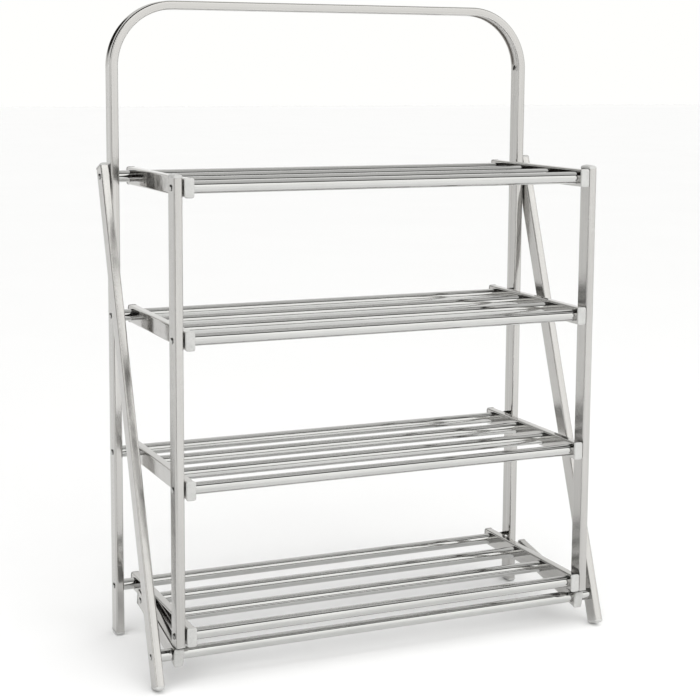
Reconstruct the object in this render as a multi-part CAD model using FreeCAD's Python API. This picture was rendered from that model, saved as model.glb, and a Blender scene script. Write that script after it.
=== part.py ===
import FreeCAD, Part
import math
import os

# Folding four-tier shoe rack of flat and round steel tube.
# Millimetres. X runs left to right, -Y is the front, Z is up, and the floor is Z = 0.
# The origin is on the floor, at the middle of the rack's footprint.
# Every pivot turns about an axis parallel to X. Left is -X, seen from the front.

# Flat tube, used on its edge: thin in X and deep in the plane of the side frames.
FLAT_THIN = 12.0
FLAT_DEEP = 24.0
FLAT_WALL = 0.8
FLAT_CORNER = 2.5

# Round tube of the shelves, the axles and the front cross bar.
ROUND_DIA = 16.0
ROUND_WALL = 0.7

# Overall layout.
FRAME_WIDTH = 640.0
FRAME_HEIGHT = 882.0
BEND_RADIUS = 84.0
TIER_COUNT = 4
BOTTOM_TIER_Z = 70.0
TIER_PITCH = 191.5
PIVOT_SPAN = 228.0
REAR_AXLE_Y = 113.0
SHELF_TUBES = 3
CROSS_TUBE_REACH = 217.0
CROSS_TUBE_Z = 42.5

# Side gaps between neighbouring planes of flat tube, from the outside inwards.
LEG_GAP = 1.0
POST_GAP = 3.4
RAIL_GAP = 1.9

# How far each flat tube runs past its end pivots.
RAIL_OVERHANG = 12.0
POST_TOP_OVERHANG = 12.5
POST_BOTTOM_OVERHANG = 11.5
LEG_TOP_OVERHANG = 13.0
LINK_OVERHANG = 10.5

# Plastic end caps: a lip outside the tube end and a plug inside it.
CAP_LIP = 0.5
PLUG_CLEARANCE = 0.05
CAP_THICK = 3.0
CAP_EDGE = 1.8
SHORT_PLUG = 1.6
LONG_PLUG = 12.0
FOOT_THICK = 5.0
FOOT_EDGE = 1.5
FRONT_LEG_END_Z = 7.0
DOME_THICK = 5.0
DOME_EDGE = 4.2
THIN_CAP = 1.6
THIN_CAP_EDGE = 0.8

# Rivets, the round plugs that hold their shanks, and the washers.
RIVET_HEAD_DIA = 8.5
RIVET_HEAD_HEIGHT = 1.8
RIVET_HEAD_EDGE = 1.4
RIVET_SHANK_DIA = 5.0
RIVET_FIT = 0.08
HEAD_GAP = 0.3
TUBE_PLUG_LENGTH = 14.0
WASHER_DIA = 13.0
WASHER_THICK = 0.6

# Clearances where round tubes enter or pass through flat tubes.
FIXED_FIT = 0.05
RUNNING_FIT = 0.08
AXLE_END_GAP = 0.4

# Worked out from the sizes above.
FRAME_OUT = FRAME_WIDTH / 2
FRAME_IN = FRAME_OUT - FLAT_THIN
FRAME_MID = FRAME_OUT - FLAT_THIN / 2
LEG_IN = FRAME_OUT + LEG_GAP
LEG_OUT = LEG_IN + FLAT_THIN
LEG_MID = LEG_IN + FLAT_THIN / 2
POST_OUT = FRAME_IN - POST_GAP
POST_IN = POST_OUT - FLAT_THIN
POST_MID = POST_OUT - FLAT_THIN / 2
RAIL_OUT = POST_IN - RAIL_GAP
RAIL_MID = RAIL_OUT - FLAT_THIN / 2
FRONT_PIVOT_Y = REAR_AXLE_Y - PIVOT_SPAN
CROSS_TUBE_Y = REAR_AXLE_Y - CROSS_TUBE_REACH
SHELF_STEP = PIVOT_SPAN / SHELF_TUBES
TOP_TIER_Z = BOTTOM_TIER_Z + TIER_PITCH * (TIER_COUNT - 1)
LEG_LEAN = math.degrees(math.atan2(CROSS_TUBE_REACH, TOP_TIER_Z - CROSS_TUBE_Z))
LINK_PIVOT_Y = REAR_AXLE_Y - SHELF_STEP
LINK_RISE = math.degrees(math.atan2(BOTTOM_TIER_Z - CROSS_TUBE_Z, LINK_PIVOT_Y - CROSS_TUBE_Y))
LINK_SPAN = math.hypot(BOTTOM_TIER_Z - CROSS_TUBE_Z, LINK_PIVOT_Y - CROSS_TUBE_Y)
BORE_REACH = 40.0

LEFT = -1
RIGHT = 1
SIDES = {"left": LEFT, "right": RIGHT}

X_AXIS = FreeCAD.Vector(1, 0, 0)
Y_AXIS = FreeCAD.Vector(0, 1, 0)
Z_AXIS = FreeCAD.Vector(0, 0, 1)
ORIGIN = FreeCAD.Vector(0, 0, 0)


def save(name, *solids):
    """Write one node; a group of identical pieces stays a group of separate solids."""
    shape = solids[0] if len(solids) == 1 else Part.makeCompound(list(solids))
    shape.exportStep("parts/" + name + ".step")


def flat_section(thin, deep, corner):
    """A rounded rectangle in the XY plane, centred on the origin."""
    box = Part.makeBox(thin, deep, 1, FreeCAD.Vector(-thin / 2, -deep / 2, 0))
    upright = [edge for edge in box.Edges if abs(edge.tangentAt(edge.FirstParameter).z) > 0.5]
    rounded = box.makeFillet(corner, upright)
    return next(face for face in rounded.Faces if face.normalAt(0, 0).z < -0.5)


def flat_bar(thin, deep, corner, start, end):
    """A solid bar of rounded rectangular section along Z."""
    face = flat_section(thin, deep, corner)
    bar = face.extrude(Z_AXIS * (end - start))
    bar.translate(Z_AXIS * start)
    return bar


def flat_tube(length):
    """Flat tube along +Z from the origin, open at both ends."""
    outer = flat_bar(FLAT_THIN, FLAT_DEEP, FLAT_CORNER, 0, length)
    inner = flat_bar(FLAT_THIN - 2 * FLAT_WALL, FLAT_DEEP - 2 * FLAT_WALL,
                     FLAT_CORNER - FLAT_WALL, -1, length + 1)
    return outer.cut(inner)


def rod(x_start, x_end, y, z, diameter):
    """A solid cylinder along X."""
    low = min(x_start, x_end)
    return Part.makeCylinder(diameter / 2, abs(x_end - x_start), FreeCAD.Vector(low, y, z), X_AXIS)


def round_tube(half_length, y, z):
    """Round tube across the rack, centred on the middle plane."""
    outer = rod(-half_length, half_length, y, z, ROUND_DIA)
    inner = rod(-half_length - 1, half_length + 1, y, z, ROUND_DIA - 2 * ROUND_WALL)
    return outer.cut(inner)


def end_cap(thick, edge, plug):
    """A cap for the start of a flat tube: its lip lies below Z = 0 and its plug above."""
    lip = flat_bar(FLAT_THIN + 2 * CAP_LIP, FLAT_DEEP + 2 * CAP_LIP, FLAT_CORNER + CAP_LIP, -thick, 0)
    rim = [e for e in lip.Edges if e.BoundBox.ZMax < -thick + 0.01]
    lip = lip.makeFillet(edge, rim)
    hollow = 2 * (FLAT_WALL + PLUG_CLEARANCE)
    stem = flat_bar(FLAT_THIN - hollow, FLAT_DEEP - hollow, FLAT_CORNER - FLAT_WALL, 0, plug)
    return lip.fuse(stem).removeSplitter()


def far_cap(thick, edge, plug, length):
    """The same cap for the far end of a flat tube of that length."""
    cap = end_cap(thick, edge, plug)
    cap.rotate(ORIGIN, X_AXIS, 180)
    cap.translate(Z_AXIS * length)
    return cap


def placed(shape, turn, x, y, z):
    """Turn a shape built along +Z about X, then move its start to a point."""
    moved = shape.copy()
    moved.rotate(ORIGIN, X_AXIS, turn)
    moved.translate(FreeCAD.Vector(x, y, z))
    return moved


def rivet(side, x_inner, x_face, y, z):
    """A rivet along X: its shank starts inside the rack and its head stands off an outer face."""
    shank = rod(side * x_inner, side * (x_face + HEAD_GAP), y, z, RIVET_SHANK_DIA)
    head_end = x_face + HEAD_GAP + RIVET_HEAD_HEIGHT
    head = rod(side * (x_face + HEAD_GAP), side * head_end, y, z, RIVET_HEAD_DIA)
    rim = [e for e in head.Edges if abs(e.CenterOfMass.x - side * head_end) < 0.01]
    return shank.fuse(head.makeFillet(RIVET_HEAD_EDGE, rim)).removeSplitter()


def tube_plug(side, x_end, y, z):
    """The insert in the end of a round tube that a rivet is set into."""
    body = rod(side * (x_end - TUBE_PLUG_LENGTH), side * x_end, y, z,
               ROUND_DIA - 2 * (ROUND_WALL + PLUG_CLEARANCE))
    hole = rod(side * (x_end - TUBE_PLUG_LENGTH - 1), side * (x_end + 1), y, z, RIVET_SHANK_DIA)
    return body.cut(hole)


def through_hole(side, x_mid, y, z, diameter):
    """A cutter through both walls of a flat tube."""
    return rod(side * (x_mid - BORE_REACH / 2), side * (x_mid + BORE_REACH / 2), y, z, diameter)


def build_hoop_frame():
    """The rear frame: one flat tube bent into an inverted U, with a rivet hole at each tier."""
    straight_top = FRAME_HEIGHT - FLAT_THIN / 2 - BEND_RADIUS
    bar_half = FRAME_MID - BEND_RADIUS

    def swept(thin, deep, corner, run_past):
        upright = flat_bar(thin, deep, corner, FOOT_THICK - run_past, straight_top)
        upright.translate(Y_AXIS * REAR_AXLE_Y)
        section = flat_section(thin, deep, corner)
        parts = []
        for side in SIDES.values():
            parts.append(upright.translated(X_AXIS * side * FRAME_MID))
            face = section.translated(FreeCAD.Vector(side * FRAME_MID, REAR_AXLE_Y, straight_top))
            centre = FreeCAD.Vector(side * bar_half, 0, straight_top)
            parts.append(face.revolve(centre, Y_AXIS, -side * 90))
        bar = flat_bar(thin, deep, corner, -bar_half, bar_half)
        bar.rotate(ORIGIN, Y_AXIS, 90)
        bar.translate(FreeCAD.Vector(0, REAR_AXLE_Y, FRAME_HEIGHT - FLAT_THIN / 2))
        return parts[0].multiFuse(parts[1:] + [bar]).removeSplitter()

    outer = swept(FLAT_THIN, FLAT_DEEP, FLAT_CORNER, 0)
    inner = swept(FLAT_THIN - 2 * FLAT_WALL, FLAT_DEEP - 2 * FLAT_WALL, FLAT_CORNER - FLAT_WALL, 1)
    frame = outer.cut(inner)
    for side in SIDES.values():
        for index in range(TIER_COUNT):
            z = BOTTOM_TIER_Z + index * TIER_PITCH
            hole = through_hole(side, FRAME_MID, REAR_AXLE_Y, z, RIVET_SHANK_DIA + 2 * RIVET_FIT)
            frame = frame.cut(hole)
    save("hoop_frame", frame)
    foot = end_cap(FOOT_THICK, FOOT_EDGE, LONG_PLUG)
    feet = [placed(foot, 0, side * FRAME_MID, REAR_AXLE_Y, FOOT_THICK) for side in SIDES.values()]
    save("rear_feet", *feet)


def build_front_legs():
    """Two slanting legs, hung from the top axle and joined near the floor by a round tube."""
    end_y = CROSS_TUBE_Y - (CROSS_TUBE_Z - FRONT_LEG_END_Z) * math.tan(math.radians(LEG_LEAN))
    length = math.hypot(TOP_TIER_Z - FRONT_LEG_END_Z, REAR_AXLE_Y - end_y) + LEG_TOP_OVERHANG
    pivot_hole = RIVET_SHANK_DIA + 2 * RIVET_FIT
    fixed_hole = RIVET_SHANK_DIA + 2 * FIXED_FIT
    below_floor = Part.makeBox(2 * FRAME_WIDTH, 2 * FRAME_WIDTH, FRAME_WIDTH,
                               FreeCAD.Vector(-FRAME_WIDTH, -FRAME_WIDTH, -FRAME_WIDTH))
    top_caps = []
    feet = []
    for name, side in SIDES.items():
        leg = placed(flat_tube(length), -LEG_LEAN, side * LEG_MID, end_y, FRONT_LEG_END_Z)
        leg = leg.cut(through_hole(side, LEG_MID, REAR_AXLE_Y, TOP_TIER_Z, pivot_hole))
        leg = leg.cut(through_hole(side, LEG_MID, CROSS_TUBE_Y, CROSS_TUBE_Z, fixed_hole))
        save("front_leg_" + name, leg)
        cap = far_cap(DOME_THICK, DOME_EDGE, SHORT_PLUG, length)
        top_caps.append(placed(cap, -LEG_LEAN, side * LEG_MID, end_y, FRONT_LEG_END_Z))
        foot = end_cap(FOOT_THICK, FOOT_EDGE, LONG_PLUG)
        foot = placed(foot, -LEG_LEAN, side * LEG_MID, end_y, FRONT_LEG_END_Z)
        feet.append(foot.cut(below_floor))
    save("front_leg_top_caps", *top_caps)
    save("front_feet", *feet)
    tube_end = LEG_IN - AXLE_END_GAP
    save("front_cross_tube", round_tube(tube_end, CROSS_TUBE_Y, CROSS_TUBE_Z))
    plugs = []
    rivets = []
    washers = []
    for side in SIDES.values():
        plugs.append(tube_plug(side, tube_end, CROSS_TUBE_Y, CROSS_TUBE_Z))
        shank_start = tube_end - TUBE_PLUG_LENGTH
        rivets.append(rivet(side, shank_start, LEG_OUT - HEAD_GAP, CROSS_TUBE_Y, CROSS_TUBE_Z))
        ring = rod(side * (LEG_IN - WASHER_THICK), side * LEG_IN, REAR_AXLE_Y, TOP_TIER_Z, WASHER_DIA)
        washers.append(ring.cut(through_hole(side, LEG_IN, REAR_AXLE_Y, TOP_TIER_Z, pivot_hole)))
    save("cross_tube_plugs", *plugs)
    save("cross_tube_rivets", *rivets)
    save("leg_washers", *washers)


def build_post(name, side):
    """One of the two front posts that keep the tiers parallel."""
    bottom = BOTTOM_TIER_Z - POST_BOTTOM_OVERHANG
    length = TOP_TIER_Z + POST_TOP_OVERHANG - bottom
    post = placed(flat_tube(length), 0, side * POST_MID, FRONT_PIVOT_Y, bottom)
    for index in range(TIER_COUNT):
        z = BOTTOM_TIER_Z + index * TIER_PITCH
        hole = through_hole(side, POST_MID, FRONT_PIVOT_Y, z, RIVET_SHANK_DIA + 2 * RIVET_FIT)
        post = post.cut(hole)
    save("post_" + name, post)
    top = far_cap(DOME_THICK, DOME_EDGE, SHORT_PLUG, length)
    save("post_" + name + "_top_cap", placed(top, 0, side * POST_MID, FRONT_PIVOT_Y, bottom))
    base = end_cap(THIN_CAP, THIN_CAP_EDGE, SHORT_PLUG)
    save("post_" + name + "_bottom_cap", placed(base, 0, side * POST_MID, FRONT_PIVOT_Y, bottom))


def build_link(name, side):
    """One link arm, from the front cross tube up to the bottom tier's second tube."""
    turn = LINK_RISE - 90
    rise = math.radians(LINK_RISE)
    start_y = CROSS_TUBE_Y - LINK_OVERHANG * math.cos(rise)
    start_z = CROSS_TUBE_Z - LINK_OVERHANG * math.sin(rise)
    length = LINK_SPAN + 2 * LINK_OVERHANG
    link = placed(flat_tube(length), turn, side * POST_MID, start_y, start_z)
    link = link.cut(through_hole(side, POST_MID, CROSS_TUBE_Y, CROSS_TUBE_Z, ROUND_DIA + 2 * RUNNING_FIT))
    rivet_hole = RIVET_SHANK_DIA + 2 * FIXED_FIT
    link = link.cut(through_hole(side, POST_MID, LINK_PIVOT_Y, BOTTOM_TIER_Z, rivet_hole))
    save("link_" + name, link)
    near = end_cap(CAP_THICK, CAP_EDGE, SHORT_PLUG)
    far = far_cap(CAP_THICK, CAP_EDGE, SHORT_PLUG, length)
    caps = [placed(cap, turn, side * POST_MID, start_y, start_z) for cap in (near, far)]
    save("link_" + name + "_caps", *caps)
    save("link_" + name + "_rivet", rivet(side, POST_IN, POST_OUT - HEAD_GAP, LINK_PIVOT_Y, BOTTOM_TIER_Z))


def build_rail(side, z):
    """A side rail along -Y, bored for the axle tube, the shelf tubes and the post's rivet."""
    length = PIVOT_SPAN + 2 * RAIL_OVERHANG
    rail = placed(flat_tube(length), 90, side * RAIL_MID, REAR_AXLE_Y + RAIL_OVERHANG, z)
    rail = rail.cut(through_hole(side, RAIL_MID, REAR_AXLE_Y, z, ROUND_DIA + 2 * FIXED_FIT))
    for index in range(SHELF_TUBES):
        y = REAR_AXLE_Y - (index + 1) * SHELF_STEP
        mouth = rod(side * (RAIL_MID - BORE_REACH), side * RAIL_MID, y, z, ROUND_DIA + 2 * FIXED_FIT)
        rail = rail.cut(mouth)
    hole = through_hole(side, RAIL_MID, FRONT_PIVOT_Y, z, RIVET_SHANK_DIA + 2 * FIXED_FIT)
    return rail.cut(hole)


def build_rail_caps(side, z):
    """The two caps that close a rail, front and rear."""
    length = PIVOT_SPAN + 2 * RAIL_OVERHANG
    rear = end_cap(CAP_THICK, CAP_EDGE, SHORT_PLUG)
    front = far_cap(CAP_THICK, CAP_EDGE, SHORT_PLUG, length)
    start_y = REAR_AXLE_Y + RAIL_OVERHANG
    return [placed(cap, 90, side * RAIL_MID, start_y, z) for cap in (rear, front)]


def build_tier(number, z):
    """One shelf: two rails, an axle tube through them at the rear, and three shelf tubes."""
    tier = "tier_" + str(number)
    axle_end = FRAME_IN - AXLE_END_GAP
    tube_end = RAIL_OUT - FLAT_WALL - FIXED_FIT
    outer_face = LEG_OUT if number == 1 else FRAME_OUT
    caps = []
    plugs = []
    rivets = []
    for name, side in SIDES.items():
        save(tier + "_rail_" + name, build_rail(side, z))
        caps += build_rail_caps(side, z)
        plugs.append(tube_plug(side, axle_end, REAR_AXLE_Y, z))
        plugs.append(tube_plug(side, tube_end, FRONT_PIVOT_Y, z))
        rivets.append(rivet(side, axle_end - TUBE_PLUG_LENGTH, outer_face, REAR_AXLE_Y, z))
        rivets.append(rivet(side, tube_end - TUBE_PLUG_LENGTH, POST_OUT, FRONT_PIVOT_Y, z))
    save(tier + "_axle_tube", round_tube(axle_end, REAR_AXLE_Y, z))
    for index in range(SHELF_TUBES):
        y = REAR_AXLE_Y - (index + 1) * SHELF_STEP
        save(tier + "_shelf_tube_" + str(index + 1), round_tube(tube_end, y, z))
    save(tier + "_rail_caps", *caps)
    save(tier + "_tube_plugs", *plugs)
    save(tier + "_pivot_rivets", *rivets)


def main():
    os.makedirs("parts", exist_ok=True)
    build_hoop_frame()
    build_front_legs()
    for name, side in SIDES.items():
        build_post(name, side)
        build_link(name, side)
    for index in range(TIER_COUNT):
        build_tier(index + 1, TOP_TIER_Z - index * TIER_PITCH)


main()
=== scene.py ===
import contextlib
import math

import bmesh
import bpy
from mathutils import Matrix, Vector


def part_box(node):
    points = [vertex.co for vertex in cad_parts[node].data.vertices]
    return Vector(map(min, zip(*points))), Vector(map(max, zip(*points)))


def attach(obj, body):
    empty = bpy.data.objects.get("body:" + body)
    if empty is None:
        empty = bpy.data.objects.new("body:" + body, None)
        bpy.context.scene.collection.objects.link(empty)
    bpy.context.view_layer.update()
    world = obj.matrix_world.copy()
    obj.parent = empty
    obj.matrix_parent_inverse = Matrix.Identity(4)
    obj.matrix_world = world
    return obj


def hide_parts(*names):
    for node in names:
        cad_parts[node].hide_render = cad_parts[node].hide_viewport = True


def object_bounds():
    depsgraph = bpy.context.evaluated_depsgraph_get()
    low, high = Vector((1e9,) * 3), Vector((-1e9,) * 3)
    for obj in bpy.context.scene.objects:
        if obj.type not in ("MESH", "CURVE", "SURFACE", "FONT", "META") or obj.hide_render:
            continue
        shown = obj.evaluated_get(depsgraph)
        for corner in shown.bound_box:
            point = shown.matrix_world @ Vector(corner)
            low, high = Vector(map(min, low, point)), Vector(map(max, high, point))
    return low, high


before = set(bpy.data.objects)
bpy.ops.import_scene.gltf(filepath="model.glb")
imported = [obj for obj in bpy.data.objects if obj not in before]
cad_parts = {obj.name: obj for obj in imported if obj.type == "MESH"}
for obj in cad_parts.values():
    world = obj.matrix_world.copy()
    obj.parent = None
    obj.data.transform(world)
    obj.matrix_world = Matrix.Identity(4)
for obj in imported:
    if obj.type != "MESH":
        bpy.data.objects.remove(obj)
CAD_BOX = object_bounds()

bl_info = {
    "name": "Folding Tiered Shoe Rack",
    "version": (1, 0, 0),
    "blender": (4, 5, 0),
    "location": "3D View > Sidebar > Shoe Rack",
    "description": "Builds the steel tubes, plastic caps, rivets and studio of a folding shoe rack",
    "category": "Object",
}

TIERS = (1, 2, 3, 4)
SHELF_TUBES = (1, 2, 3)
SIDES = {"left": -1, "right": 1}
QUARTER = math.pi / 2


def middle(node):
    low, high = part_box(node)
    return (low + high) / 2


def extent(node):
    low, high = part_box(node)
    return high - low


def outer_x(node):
    """How far a node reaches from the middle plane of the rack."""
    low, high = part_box(node)
    return max(abs(low.x), abs(high.x))


# Section sizes and pivot lines, read from the fixed frame.
FLAT_THIN = extent("post_right").x
FLAT_DEEP = extent("post_right").y
ROUND_RADIUS = extent("tier_1_axle_tube").z / 2
TOP_AXLE = middle("tier_1_axle_tube")
CROSS_AXLE = middle("front_cross_tube")
LINK_AXLE = middle("tier_4_shelf_tube_1")
FRONT_AXLE_Y = middle("tier_1_shelf_tube_3").y
LEG_LEAN = math.atan2(TOP_AXLE.y - CROSS_AXLE.y, TOP_AXLE.z - CROSS_AXLE.z)
LINK_RISE = math.atan2(LINK_AXLE.z - CROSS_AXLE.z, LINK_AXLE.y - CROSS_AXLE.y)
CAP_LIP = (extent("post_right_top_cap").y - FLAT_DEEP) / 2
CAP_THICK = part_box("tier_1_rail_right")[0].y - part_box("tier_1_rail_caps")[0].y
DOME_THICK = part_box("post_right_top_cap")[1].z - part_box("post_right")[1].z
THIN_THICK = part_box("post_right")[0].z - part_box("post_right_bottom_cap")[0].z
FOOT_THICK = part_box("hoop_frame")[0].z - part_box("rear_feet")[0].z
HEAD_RADIUS = extent("link_right_rivet").z / 2
LINK_SLANT = QUARTER - LINK_RISE

# Play between a hole and what is in it: loose where one turns on the other, and snug where it is held.
LOOSE = 0.00008
SNUG = 0.00005


def length_property(name, description, default):
    return bpy.props.FloatProperty(name=name, description=description, default=default,
                                   min=0, precision=5, subtype="DISTANCE", unit="LENGTH")


def colour_property(name, description, default):
    return bpy.props.FloatVectorProperty(name=name, description=description, default=default,
                                         size=3, min=0, max=1, subtype="COLOR")


class RackSizes(bpy.types.PropertyGroup):
    """Sizes of the tube, the bends, the caps and the rivets, in metres."""

    flat_wall: length_property("Flat tube wall", "Wall of the flat tube", 0.0008)
    flat_corner: length_property("Flat tube corner", "Outer corner radius of the flat tube", 0.0025)
    round_wall: length_property("Round tube wall", "Wall of the round tube", 0.0007)
    bend_radius: length_property("Bend radius", "Middle line radius of the hoop's bends", 0.084)
    inner_crush: length_property("Inner crush", "Groove pressed in the inside of each bend", 0.0034)
    outer_crush: length_property("Outer crush", "Hollow pressed in the outside of each bend", 0.0017)
    dimple: length_property("Dimple", "Dent where the bending former gripped the tube", 0.0016)
    hole_edge: length_property("Hole edge", "Rounding of the edges of drilled holes", 0.0003)
    cap_edge: length_property("Cap edge", "Rounding of the flat end caps", 0.0015)
    dome_edge: length_property("Dome edge", "Rounding of the domed end caps", 0.0039)
    foot_edge: length_property("Foot edge", "Rounding of the feet", 0.0040)
    thin_edge: length_property("Thin cap edge", "Rounding of the caps under the posts", 0.0009)
    rivet_height: length_property("Rivet height", "Height of a rivet's head", 0.0018)
    shank_radius: length_property("Rivet shank", "Radius of a rivet's shank", 0.0025)
    rivet_gap: length_property("Rivet gap", "Play under the head of a pivot rivet", 0.0003)
    plug_length: length_property("Tube plug", "Length of the plug in a tube's end", 0.014)


class RackColours(bpy.types.PropertyGroup):
    """Colours of the metal, the plastics and the studio."""

    flat_steel: colour_property("Flat steel", "Polished flat tube", (0.49, 0.482, 0.468))
    round_steel: colour_property("Round steel", "Mirror polished round tube", (0.52, 0.52, 0.51))
    rivet_steel: colour_property("Rivet steel", "Turned rivet heads", (0.48, 0.48, 0.47))
    cap_grey: colour_property("Cap grey", "Light grey end caps", (0.43, 0.43, 0.42))
    foot_grey: colour_property("Foot grey", "Milky grey feet", (0.46, 0.46, 0.45))
    nylon: colour_property("Nylon", "Washers and tube plugs", (0.55, 0.54, 0.50))
    floor: colour_property("Floor", "Pale studio floor", (0.86, 0.86, 0.86))


# ---------------------------------------------------------------- modelling helpers


def clear_selection():
    if bpy.context.mode != "OBJECT":
        bpy.ops.object.mode_set(mode="OBJECT")
    bpy.ops.object.select_all(action="DESELECT")


def choose(piece):
    """Make one piece the only selected and active object."""
    clear_selection()
    piece.select_set(True)
    bpy.context.view_layer.objects.active = piece


@contextlib.contextmanager
def editing(piece):
    choose(piece)
    bpy.ops.object.mode_set(mode="EDIT")
    yield bmesh.from_edit_mesh(piece.data)
    bpy.ops.object.mode_set(mode="OBJECT")


def pick(piece, kind, test):
    """In edit mode, select only the vertices, edges or faces that pass a test."""
    bpy.ops.mesh.select_mode(type=kind)
    bpy.ops.mesh.select_all(action="DESELECT")
    shape = bmesh.from_edit_mesh(piece.data)
    parts = {"VERT": shape.verts, "EDGE": shape.edges, "FACE": shape.faces}[kind]
    for part in parts:
        if test(part):
            part.select_set(True)
    bmesh.update_edit_mesh(piece.data)


def run_of(edge):
    """The direction and length of an edge as one vector of positive parts."""
    a, b = (vertex.co for vertex in edge.verts)
    return Vector(abs(x) for x in b - a)


def settle(piece):
    """Put the place, the turn and the size of an object into its mesh."""
    choose(piece)
    bpy.ops.object.transform_apply(location=True, rotation=True, scale=True)
    return piece


def block(name, size, centre):
    """A rectangular block at its size and place."""
    clear_selection()
    bpy.ops.mesh.primitive_cube_add(size=1, location=centre)
    piece = bpy.context.object
    piece.name = name
    piece.data.name = name
    piece.scale = size
    return settle(piece)


def apply_modifier(piece, kind, **settings):
    choose(piece)
    modifier = piece.modifiers.new(kind.lower(), kind)
    for key, value in settings.items():
        setattr(modifier, key, value)
    bpy.ops.object.modifier_apply(modifier=modifier.name)


def placed(piece, turn, x, y, z):
    """Turn a piece built along +Z about X, and move its start to a point."""
    piece.rotation_euler = (turn, 0, 0)
    piece.location = (x, y, z)
    return settle(piece)


def copy_of(piece, name):
    """A copy with its own mesh."""
    twin = piece.copy()
    twin.data = piece.data.copy()
    twin.name = name
    twin.data.name = name
    bpy.context.scene.collection.objects.link(twin)
    return twin


def joined(name, pieces):
    """One piece made of several separate shells."""
    choose(pieces[0])
    for piece in pieces:
        piece.select_set(True)
    bpy.ops.object.join()
    whole = bpy.context.object
    whole.name = name
    whole.data.name = name
    return whole


def discard(piece):
    bpy.data.objects.remove(piece)


def flat_bar(name, thin, deep, corner, low, high, segments=6):
    """A solid bar of rounded rectangular section along Z."""
    bar = block(name, (thin, deep, high - low), (0, 0, (low + high) / 2))
    with editing(bar):
        pick(bar, "EDGE", lambda edge: run_of(edge).z > (high - low) / 2)
        bpy.ops.mesh.bevel(offset=corner, segments=segments, affect="EDGES")
    return bar


def flat_tube(name, length, sizes):
    """Flat tube along +Z from the origin, open at both ends."""
    tube = flat_bar(name, FLAT_THIN, FLAT_DEEP, sizes.flat_corner, 0, length)
    with editing(tube):
        pick(tube, "FACE", lambda face: abs(face.normal.z) > 0.9)
        bpy.ops.mesh.delete(type="FACE")
    apply_modifier(tube, "SOLIDIFY", thickness=sizes.flat_wall, offset=-1)
    return tube


def bore(piece, holes, edge_radius):
    """Cut round holes along X; each hole is (x, y, z, radius), and its edges are rounded."""
    cutters = []
    for x, y, z, radius in holes:
        clear_selection()
        bpy.ops.mesh.primitive_cylinder_add(vertices=48, radius=radius, depth=2 * FLAT_THIN,
                                            location=(x, y, z), rotation=(0, QUARTER, 0))
        cutters.append(bpy.context.object)
    cutter = settle(joined("cutter", cutters))
    apply_modifier(piece, "BOOLEAN", operation="DIFFERENCE", object=cutter, solver="EXACT")
    discard(cutter)

    def on_rim(edge):
        if run_of(edge).x > edge_radius / 4:
            return False
        for _, y, z, radius in holes:
            if all(abs(math.hypot(v.co.y - y, v.co.z - z) - radius) < edge_radius / 8
                   for v in edge.verts):
                return True
        return False

    with editing(piece):
        pick(piece, "EDGE", on_rim)
        bpy.ops.mesh.bevel(offset=edge_radius, segments=2, affect="EDGES", clamp_overlap=True)


def smooth(piece, angle=35):
    """Smooth shading whose flat faces stay flat."""
    choose(piece)
    bpy.ops.object.shade_smooth_by_angle(angle=math.radians(angle))
    apply_modifier(piece, "WEIGHTED_NORMAL", keep_sharp=True, weight=80)


def coat(piece, finish):
    """Give a piece one finish by its name."""
    piece.data.materials.clear()
    piece.data.materials.append(bpy.data.materials[finish])


def fit_out(piece, body, finish, node):
    """Give a finished piece its finish and its body, and hide the node of the frame it stands for."""
    coat(piece, finish)
    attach(piece, body)
    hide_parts(node)


# ---------------------------------------------------------------- materials


class Value:
    """A shader socket that holds a number, so that arithmetic on it adds Math nodes."""

    def __init__(self, finish, socket):
        self.finish = finish
        self.socket = socket

    def math(self, operation, first, second):
        return self.finish.node("ShaderNodeMath", {"operation": operation}, {0: first, 1: second})

    def __add__(self, other):
        return self.math("ADD", self, other)

    def __rsub__(self, other):
        return self.math("SUBTRACT", other, self)

    def __mul__(self, other):
        return self.math("MULTIPLY", self, other)

    def __truediv__(self, other):
        return self.math("DIVIDE", self, other)

    __radd__ = __add__
    __rmul__ = __mul__


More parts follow.
